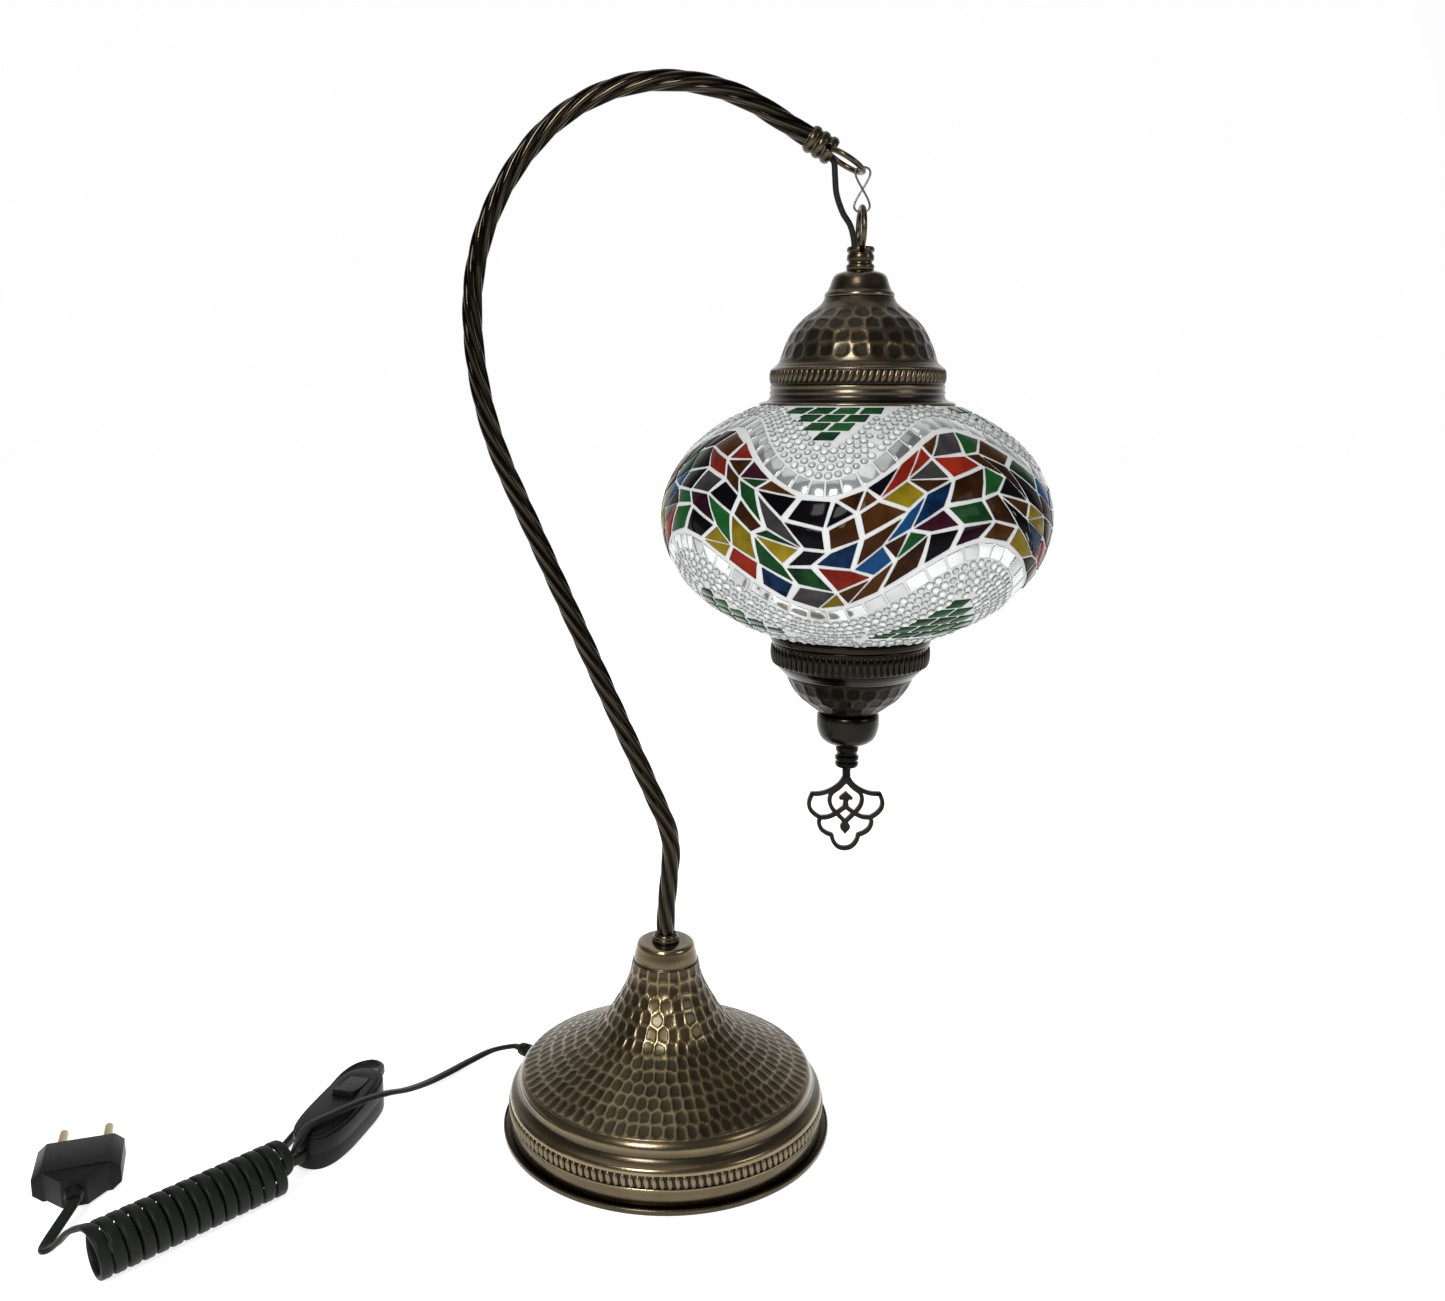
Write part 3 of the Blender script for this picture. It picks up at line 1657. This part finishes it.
    def from_border(self, turns: np.ndarray, ups: np.ndarray, sign: int) -> np.ndarray:
        """Distances of places from a row of mirrors.

        Args:
            turns: Turns of the places.
            ups: Angles of the places, from the band outwards.
            sign: One above the band, minus one below it.

        Returns:
            The distances by turn and angle, never falling outwards, and nought inside the border.
        """
        line_turn, line_up = self.border(np.arange(-self.period, 2 * self.period, 0.4), sign)
        line = KDTree(len(line_turn))
        for k, spot in enumerate(self.spot(line_turn, line_up, self.row_depth)):
            line.insert(spot, k)
        line.balance()
        places = self.spot(*np.meshgrid(turns, ups, indexing="ij"), self.row_depth)
        away = np.array([[line.find(spot)[2] for spot in row] for row in places])
        start = np.interp(turns, line_turn, line_up)
        return np.maximum.accumulate(np.where(sign * (ups - start[:, None]) > 0, away, 0.0), axis=1)

    def bead_places(self) -> Pair:
        """Sets out the seed beads in rows at even distances from the mirrors, none on a leaf.

        Returns:
            The beads' turns and angles.
        """
        turns = np.arange(0.0, self.period, 0.5)
        turn = np.concatenate([turns + self.period * k for k in range(self.waves)])
        rng = np.random.default_rng(self.row_seed)
        kept: list[tuple[float, float]] = []
        for sign, limit in zip((1, -1), self.bead_reach):
            ups = sign * np.arange(8.0, limit, 0.5)
            away = self.from_border(turns, ups, sign)
            for row in range(self.bead_rows):
                level = self.bead_first + self.bead_pitch * row
                up = np.tile([np.interp(level, d, ups, np.nan, np.nan) for d in away], self.waves)
                length = distances(self.spot(turn, np.nan_to_num(up, nan=sign * limit), self.row_depth))
                stops = np.arange(rng.uniform(0.0, 1.0), length[-1], self.bead)
                for t, u in zip(np.interp(stops, length, turn), np.interp(stops, length, up)):
                    if not math.isnan(u) and not self._in_leaf(t, u):
                        kept.append((t, u))
        return self._apart(np.array(kept))

    def _apart(self, places: np.ndarray) -> Pair:
        """Leaves out each bead that would sit on an earlier one.

        Args:
            places: Rows of turn and angle.

        Returns:
            The turns and angles that stay.
        """
        at = self.spot(places[:, 0], places[:, 1], self.row_depth)
        least = self.bead_apart * self.bead
        keep = np.ones(len(at), bool)
        for k in range(1, len(at)):
            keep[k] = not np.any(keep[:k] & (np.linalg.norm(at[:k] - at[k], axis=1) < least))
        return places[keep, 0], places[keep, 1]

    def _in_leaf(self, turn: float, up: float) -> bool:
        """Whether a place is on a green leaf or against its edge.

        Args:
            turn: The place's turn.
            up: The place's angle.

        Returns:
            True on a leaf.
        """
        over, past = 2.0, 1.4
        if up > 0:
            rows, middle, depth = self.leaf_rows[0], self.wave_peak + self.period / 2, self.leaf_up - up
        else:
            rows, middle, depth = self.leaf_rows[1], self.wave_peak, up - self.leaf_down
        half_turn = self.period / 2
        off = abs((turn - middle + half_turn) % self.period - half_turn) * math.cos(math.radians(up))
        half = self.leaf_spread * (0.5 * max(rows - depth / self.leaf_step, 0.0) + self.leaf_edge)
        return -over < depth < self.leaf_step * rows + past and off < half

    def beads(self, tree: bpy.types.NodeTree) -> None:
        """Sets the seed beads on the paste.

        Args:
            tree: The beads' geometry tree.
        """
        turn, up = self.bead_places()
        points = bpy.data.meshes.new("bead_points")
        points.from_pydata((self.spot(turn, up, self.bead_depth) * MM).tolist(), [], [])
        facing = points.attributes.new("outward", "FLOAT_VECTOR", "POINT")
        facing.data.foreach_set("vector", self.outward(turn, up).astype(np.float32).ravel())
        values = {
            "Size": self.bead * MM, "Flatness": self.bead_flatness, "Seed": self.bead_seed,
            "Material": SEED_GLASS.material(),
        }
        made = bake_tree("seed_beads", tree, values, points)
        dress(made, SEED_GLASS, Body.SHADE)
        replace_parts(made, "bead_rows")

    def spin(
        self, name: str, profile: Profile, finish: Finish, segments: int = 160, relief: Relief | None = None
    ) -> bpy.types.Object:
        """Spins one stretch of a cap.

        Args:
            name: The piece's name.
            profile: Its outer profile, from the bottom up.
            finish: Its finish.
            segments: Steps once round.
            relief: Its hammer marks.

        Returns:
            The piece, dressed.
        """
        sheet = Lathe(profile, segments=segments, step=0.7, axis_x=self.axis_x, base_z=self.top)
        return dress(sheet.build(name, relief), finish, Body.SHADE)

    def top_cap(self, tree: bpy.types.NodeTree) -> None:
        """Makes the cap over the globe.

        Args:
            tree: The lobes' geometry tree.
        """
        flange = [
            (40.8, -63.4), (40.7, -62.9), (40.2, -62.5), (37.4, -61.8), (36.6, -61.1), (36.2, -60.2),
            (36.0, -59.4), (36.35, -58.8), (36.35, -58.3), (36.0, -57.7), (36.0, -56.9), (36.3, -56.4),
            (36.3, -55.9), (35.9, -55.4),
        ]
        groove = [(35.9, -55.4), (35.9, -49.4)]
        shelf = [(35.9, -49.4), (35.8, -48.9), (35.3, -48.4), (34.2, -47.6)]
        shoulder = curved([
            (34.2, -47.6), (32.9, -46.4), (32.1, -44.2), (31.2, -41.6), (29.5, -37.3), (27.0, -32.8),
            (23.4, -28.8), (19.0, -25.4), (15.6, -22.4), (14.2, -20.0),
        ], 6)
        crown = [
            (14.2, -20.0), (14.4, -19.5), (14.4, -18.9), (13.9, -18.0), (13.2, -17.5), (12.9, -17.0),
            (12.2, -15.4), (11.4, -13.0), (11.0, -12.0), (10.3, -11.1), (9.4, -10.5), (8.4, -10.15),
            (5.2, -9.15),
        ]
        marks = Hammering(first=6.6, pitch=6.1, rows=4, width=7.0, depth=0.42, seed=11, web=0.20, reach=0.52)
        lobes = Gadroons(84, 35.55, self.top - 52.0, 2.5, 6.4, 1.0, -16.0, self.axis_x)
        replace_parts(self.spin("cap_dome", shoulder, CAP_HAMMERED, 300, marks.relief), "top_cap")
        lobes.build("cap_lobes", tree, CAP_HAMMERED, Body.SHADE)
        self.spin("cap_groove", groove, GROOVE)
        for name, profile in (("cap_flange", flange), ("cap_shelf", shelf), ("cap_crown", crown)):
            self.spin(name, profile, CAP_BRASS)

    def bottom_cap(self, tree: bpy.types.NodeTree) -> None:
        """Makes the cap under the globe.

        Args:
            tree: The lobes' geometry tree.
        """
        belly = [(2.1, -195.5), (12.4, -195.3)]
        bowl = curved([
            (13.6, -194.6), (15.8, -193.0), (19.7, -190.1), (22.9, -187.0), (25.8, -182.7), (27.6, -178.6),
        ], 6)
        step = [
            (27.6, -178.6), (28.4, -178.2), (29.0, -177.4), (30.4, -176.0), (31.4, -174.7), (32.0, -173.8),
        ]
        groove = [(32.0, -173.8), (33.0, -171.4), (33.5, -168.6), (33.7, -163.6)]
        rim = [(33.7, -163.6), (34.3, -163.4), (34.6, -162.9), (34.6, -160.6)]
        marks = Hammering(first=17.6, pitch=5.6, rows=3, width=6.6, depth=0.42, seed=21)
        lobes = Gadroons(74, 32.9, self.top - 168.6, 2.8, 9.8, 1.5, 0.0, self.axis_x)
        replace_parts(self.spin("bowl_cap", belly + bowl, LOW_HAMMERED, 240, marks.relief), "bottom_cap")
        for name, profile in (("bowl_step", step), ("bowl_groove", groove), ("bowl_rim", rim)):
            self.spin(name, profile, LOW_BRASS)
        lobes.build("bowl_lobes", tree, LOW_BRASS, Body.SHADE)

    def build(self, frame: dict, trees: dict[str, bpy.types.NodeTree]) -> None:
        """Makes the shade's pieces.

        Args:
            frame: The loaded frame.
            trees: The geometry trees.
        """
        self.paste()
        self.tiles(frame)
        self.beads(trees["beads"])
        self.top_cap(trees["gadroons"])
        self.bottom_cap(trees["gadroons"])
        softened(frame, "neck_bush", PLAIN_BRASS, Body.SHADE, 0.15)
        softened(frame, "finial_neck", LOW_BRASS, Body.SHADE, 0.15)
        softened(frame, "drop_knob", DARK_BRASS, Body.SHADE, 0.4)
        softened(frame, "finial", DARK_BRASS, Body.SHADE, 0.45)


def turned(at: Point, degrees: float, x: float, y: float, z: float) -> np.ndarray:
    """Place in a frame that stands at a point, turned about the vertical.

    Args:
        at: The frame's own place.
        degrees: Its turn.
        x: Distance along it.
        y: Distance across it.
        z: Distance up.

    Returns:
        The place.
    """
    a = math.radians(degrees)
    return np.array(at) + [x * math.cos(a) - y * math.sin(a), x * math.sin(a) + y * math.cos(a), z]


@dataclass
class Cord:
    """Flat cord with its hank, switch and plug.

    Attributes:
        run_length: Length from the base to the switch, in metres.
        hank_length: Length from the switch to the plug, in metres.
        lean: Direction that the run's flat side faces.
        edge_from: Step of the run at which it starts to turn on edge, and then the steps that it takes.
        core_end: Far end of the hank's core, along the hank.
        inner_fold: Half width of the run's fold in the core, and then of the hank's own fold round it.
        wind_start: Start of the winding along the hank, and then the end of its lead-in, of half a turn.
    """

    width: float = 4.8
    thick: float = 2.4
    run_length: float = 0.316
    hank_length: float = 1.237
    turns: int = 14
    pitch: float = 5.6
    hank_at: Point = (-161.0, -55.0, 11.6)
    hank_turn: float = 45.6
    switch_at: Point = (-148.5, -12.0, 0.2)
    switch_turn: float = 75.7
    switch_len: float = 62.0
    cord_z: float = 8.4
    lean: Point = (0.0, 0.3, 1.0)
    edge_from: int = 80
    edge_steps: int = 24
    core_end: float = -70.0
    inner_fold: float = 1.7
    outer_fold: float = 4.7
    relief_turn: float = 145.0
    relief_end: float = 89.0
    wind_start: float = -6.0
    wind_first: float = -3.0
    wind_slope: float = 14.0
    wind_r: float = 10.0
    lead_in: float = 0.5
    plug_at: Point = (-243.0, -74.0, 7.4)
    plug_turn: float = 108.0

    def in_hank(self, u: float, v: float, w: float) -> np.ndarray:
        """Place in the hank: along it, across it and up."""
        return turned(self.hank_at, self.hank_turn, u, v, w)

    def at_switch(self, x: float) -> np.ndarray:
        """Place on the switch's axis, at the height of its cord holes."""
        return turned(self.switch_at, self.switch_turn, x, 0.0, self.cord_z)

    def folded(self, side: float, there: Sequence[float], back: Sequence[float]) -> list[np.ndarray]:
        """Route along the hank's core, round its far end and back.

        Args:
            side: Distance across the core on the way there.
            there: Places along the core on the way there.
            back: Places along the core on the way back.

        Returns:
            Points of the route.
        """
        half_turn = [(math.sin(b), math.cos(b)) for b in np.radians(range(0, 181, 45))]
        bend = [self.in_hank(self.core_end - abs(side) * s, side * c, 0) for s, c in half_turn]
        return [self.in_hank(u, side, 0) for u in there] + bend + [self.in_hank(u, -side, 0) for u in back]

    def run_line(self) -> Pair:
        """Line from the strain relief to the switch.

        Returns:
            Points and normals.
        """
        mouth = -self.switch_len / 2
        out, z = self.relief_end, self.cord_z
        route = [turned((0, 0, 0), self.relief_turn, *at) for at in ((out, 0, z), (out + 5, 0, z - 0.4))]
        route += [
            (-88, 56, 4.6), (-98, 49, 2.8), (-107, 38, 2.6), (-115, 25, 4.4), (-122, 9, 9.6),
            (-129, -5, 15.6), (-137, -17, 18.8), (-147, -28, 19.2), (-155, -37, 18.8),
        ]
        route += [self.in_hank(8, 3, 5.4), self.in_hank(1, -0.4, 1.6), self.in_hank(-8, -self.inner_fold, 0)]
        route += self.folded(-self.inner_fold, (-24, -40, -56), (-56, -40, -24, -8))
        route += [self.in_hank(3, 2.4, -1.8), self.at_switch(mouth - 3), self.at_switch(mouth)]
        p = smooth_curve(route, 8)
        edge = unit(np.cross(tangents(p), UPWARD))
        k = np.clip((np.arange(len(p)) - self.edge_from) / self.edge_steps, 0, 1)[:, None]
        return p, unit((1 - k) * np.array(self.lean) + k * edge)

    def wound(self, k: float) -> tuple[float, float, float]:
        """Place on the winding.

        Args:
            k: Turns since the winding's start.

        Returns:
            Distance along the hank, radius, and angle in radians.
        """
        x = min(1.0, k / self.lead_in)
        radius = self.outer_fold + (self.wind_r - self.outer_fold) * x * x * (3 - 2 * x)
        if k >= self.lead_in:
            along = self.wind_first - self.pitch * (k - self.lead_in)
            turns = k - self.lead_in / 2
        else:
            along = (self.wind_start * (2 * x**3 - 3 * x**2 + 1) + self.wind_slope * (x**3 - 2 * x**2 + x)
                     + self.wind_first * (3 * x**2 - 2 * x**3) - self.pitch * self.lead_in * (x**3 - x**2))
            turns = k * k / (2 * self.lead_in)
        return along, radius, math.radians(180 - 360 * turns)

    def loop_line(self) -> np.ndarray:
        """Line from the switch round to the hank and along its core.

        Returns:
            Points of the line.
        """
        mouth, fold = self.switch_len / 2, self.outer_fold
        route = [self.at_switch(mouth), self.at_switch(mouth + 4)]
        route += [
            (-139, 28, 7.6), (-140, 36, 6), (-146, 42, 4.6), (-153, 41, 3.4), (-158, 34, 2.8),
            (-161, 22, 2.7), (-163, 8, 2.7), (-166, -8, 2.7), (-169, -24, 3), (-170, -38, 5),
        ]
        route += [self.in_hank(0, 8.4, -2.8), self.in_hank(-8, fold + 0.7, -0.6)]
        return smooth_curve(route + self.folded(fold, (-18, -32, -46, -60), (-60, -46, -32, -18)), 6)

    def hank_line(self) -> Pair:
        """Line from the switch through the hank to the plug.

        Returns:
            Points and normals.
        """
        turn_steps, tail_steps, flat_steps, just_before = 36, 8, 14, 0.04
        loop = self.loop_line()
        last = self.turns + 1 / 3 + self.lead_in / 2
        count = math.ceil(last * turn_steps)
        wound = [self.wound(last * i / count) for i in range(1, count + 1)]
        wound.append(self.wound(last - just_before))
        *winding, before = [self.in_hank(u, r * math.cos(a), r * math.sin(a)) for u, r, a in wound]
        angle = np.array(wound)[:-1, 2, None]
        end = wound[-2][0]
        tail = [before, winding[-1]]
        tail += [self.in_hank(end - u, v, w) for u, v, w in ((2.5, 14, 3.4), (5, 21, -4), (7, 28, -8))]
        tail += [turned(self.plug_at, self.plug_turn, -4, 0, 0), self.plug_at]
        tail_line = smooth_curve(tail, tail_steps)[tail_steps + 1:]
        p = np.vstack([loop, winding, tail_line])
        edge = unit(np.cross(tangents(p), UPWARD))[:len(loop)]
        across = turned((0, 0, 0), self.hank_turn, 0, 1, 0)
        radial = np.cos(angle) * across + np.sin(angle) * np.array(UPWARD)
        k = np.clip((np.arange(len(tail_line)) + 1) / flat_steps, 0, 1)[:, None]
        return p, np.vstack([edge, radial, unit((1 - k) * radial[-1] + k * np.array(UPWARD))])

    def section(self) -> np.ndarray:
        """Flat two-core section.

        Returns:
            Places round it, across and up.
        """
        a = round_angles(16)
        waist_depth, waist_width = 0.16, 0.7
        x = self.width / 2 * np.sign(np.cos(a)) * np.abs(np.cos(a)) ** 0.8
        waist = 1 - waist_depth * np.exp(-((x / waist_width) ** 2))
        return np.stack([x, self.thick / 2 * np.sign(np.sin(a)) * np.abs(np.sin(a)) ** 0.7 * waist], 1)

    def lay(self, name: str, node: str, p: np.ndarray, normal: np.ndarray) -> bpy.types.Object:
        """Makes one stretch of the cord.

        Args:
            name: The piece's name.
            node: The CAD node that it stands for.
            p: Points of its line.
            normal: Direction that its flat side faces, at each point.

        Returns:
            The stretch, dressed.
        """
        made = tube(name, section_rings(p, tangents(p), normal, self.section()) * MM)
        dress(made, CORD_COVER, Body.STAND)
        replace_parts(made, node)
        return made

    def build(self, frame: dict) -> None:
        """Makes the cord, its switch and its plug.

        Args:
            frame: The loaded frame.
        """
        lower = softened(frame, "switch_lower", SWITCH_SHELL, Body.STAND, 0.6)
        upper = softened(frame, "switch_upper", SWITCH_SHELL, Body.STAND, 0.6)
        rocker = softened(frame, "switch_rocker", SWITCH_SHELL, Body.ROCKER, 0.4)
        plug = softened(frame, "plug_body", SWITCH_SHELL, Body.STAND, 1.2)
        pins = softened(frame, "plug_pins", CONTACTS, Body.STAND, 0.2)
        p, normal = self.run_line()
        run = self.lay("cord_to_switch", "cord_run", p, normal)
        tuple(p[0] * MM)
        self.width * MM
        (p * MM).tolist()
        p, normal = self.hank_line()
        hank = self.lay("cord_hank_wound", "cord_hank", p, normal)
        tuple(p[0] * MM)
        self.width * MM
        (p * MM).tolist()


# Studio, in metres


@dataclass(frozen=True)
class SoftBox:
    """A soft light: where it stands, what it faces, its width and height, and its watts."""

    name: str
    at: Point
    aim: Point
    size: tuple[float, float]
    power: float

    def build(self) -> None:
        """Makes the light."""
        data = bpy.data.lights.new(self.name, "AREA")
        data.shape = "RECTANGLE"
        data.size, data.size_y = self.size
        data.energy = self.power
        made = add_object(self.name, data)
        made.location = self.at
        way = Vector(self.aim) - Vector(self.at)
        made.rotation_euler = way.to_track_quat("-Z", "Y").to_euler()


@dataclass
class Studio:
    """Pale floor, soft light and the photograph's camera.

    Attributes:
        focal_px: Focal length, in pixels of the photograph.
        frame_px: Width of the photograph, in pixels.
        middle_px: The pixel column that the camera faces.
        pitch: How far the camera looks down, in degrees.
        dim: Tone of the surround in front of the lamp.
        bright: Tone of the surround behind it.
        bright_from: How far back a direction points where the surround starts to brighten and is bright.
    """

    focal_px: float = 1300.0
    frame_px: float = 1445.0
    middle_px: float = 665.7
    sensor_mm: float = 36.0
    camera_at: Point = (0.0, -0.5539, 0.3304)
    pitch: float = 11.02
    floor_half: float = 6.0
    floor_z: float = -0.0002
    dim: Colour = (0.20, 0.20, 0.205)
    bright: Colour = (0.99, 0.99, 0.99)
    bright_from: tuple[float, float] = (0.35, 0.86)
    lights: tuple[SoftBox, ...] = (
        SoftBox("top", (-0.25, 0.1, 1.9), (0.0, 0.0, 0.0), (1.6, 1.6), 6.0),
        SoftBox("key", (-0.42, -1.25, 1.05), (0.02, 0.0, 0.22), (0.40, 0.70), 22.0),
        SoftBox("fill", (1.25, -0.7, 0.75), (0.05, 0.0, 0.22), (0.5, 0.5), 3.0),
    )

    def camera(self) -> None:
        """Makes the camera."""
        data = bpy.data.cameras.new("camera")
        data.sensor_fit = "HORIZONTAL"
        data.sensor_width = self.sensor_mm
        data.lens = self.focal_px / self.frame_px * self.sensor_mm
        data.shift_x = (self.frame_px / 2 - self.middle_px) / self.frame_px
        data.clip_start = 0.01
        made = add_object("camera", data)
        made.location = self.camera_at
        made.rotation_euler = (math.radians(90.0 - self.pitch), 0.0, 0.0)
        bpy.context.scene.camera = made

    def floor(self) -> None:
        """Makes the pale floor."""
        half = self.floor_half
        corners = [(-half, -half), (half, -half), (half, half), (-half, half)]
        made = mesh_object("floor", np.array([(x, y, self.floor_z) for x, y in corners]), [(0, 1, 2, 3)])
        cover(made, Table("pale_floor"))

    def surround(self) -> None:
        """Makes a surround that is white behind the lamp and dim in front of it, like a dark room."""
        world = bpy.data.worlds.new("studio")
        world.use_nodes = True
        graph = Graph(world.node_tree)
        way = graph.parts(graph.node("ShaderNodeTexCoord").out("Generated"))
        tone = graph.mix(way.out("Y").between(*self.bright_from), self.dim, self.bright)
        graph.feed(world.node_tree.nodes["Background"], {0: tone})
        bpy.context.scene.world = world

    def build(self) -> None:
        """Makes the camera, the floor, the surround and the lights."""
        self.camera()
        self.floor()
        self.surround()
        for light in self.lights:
            light.build()
        bpy.context.scene.view_settings.view_transform = "Standard"


def dress_inner_nodes(frame: dict) -> None:
    """Gives the CAD nodes that still show their finishes.

    Args:
        frame: The loaded frame.
    """
    finishes = (
        (FELT, ("felt_pad",)), (IRON, ("ballast",)), (PLAIN_BRASS, ("tip_ring", "shade_eye")),
        (HOLDER, ("lamp_holder", "shade_ring")), (CONTACTS, ("bulb_cap",)), (FROSTED, ("bulb_glass",)),
        (BLOWN, ("glass_globe",)),
        (PLATED, ("pan_screws", "neck_washer", "neck_nut", "nipple", "nipple_nut", "top_strap",
                  "bottom_strap", "stud", "stud_nut", "switch_screws")),
    )
    for finish, nodes in finishes:
        for node in nodes:
            cover(frame["nodes"][node], finish)
            LOG.info("%s keeps its solid, in %s", node, finish.name)


def main() -> None:
    """Builds the lamp's pieces over the frame and notes both boxes."""
    logging.basicConfig(level=logging.INFO, format="%(name)s: %(message)s")
    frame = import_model()
    trees = {"gadroons": gadroon_tree(), "beads": bead_tree()}
    neck = SwanNeck()
    hanging = Hanging(neck.tip())
    Studio().build()
    Cord().build(frame)
    hanging.build()
    Base().build(frame, trees)
    neck.build(frame)
    Shade(hanging.hook[0], hanging.shade_top).build(frame, trees)
    dress_inner_nodes(frame)


if __name__ == "__main__":
    main()
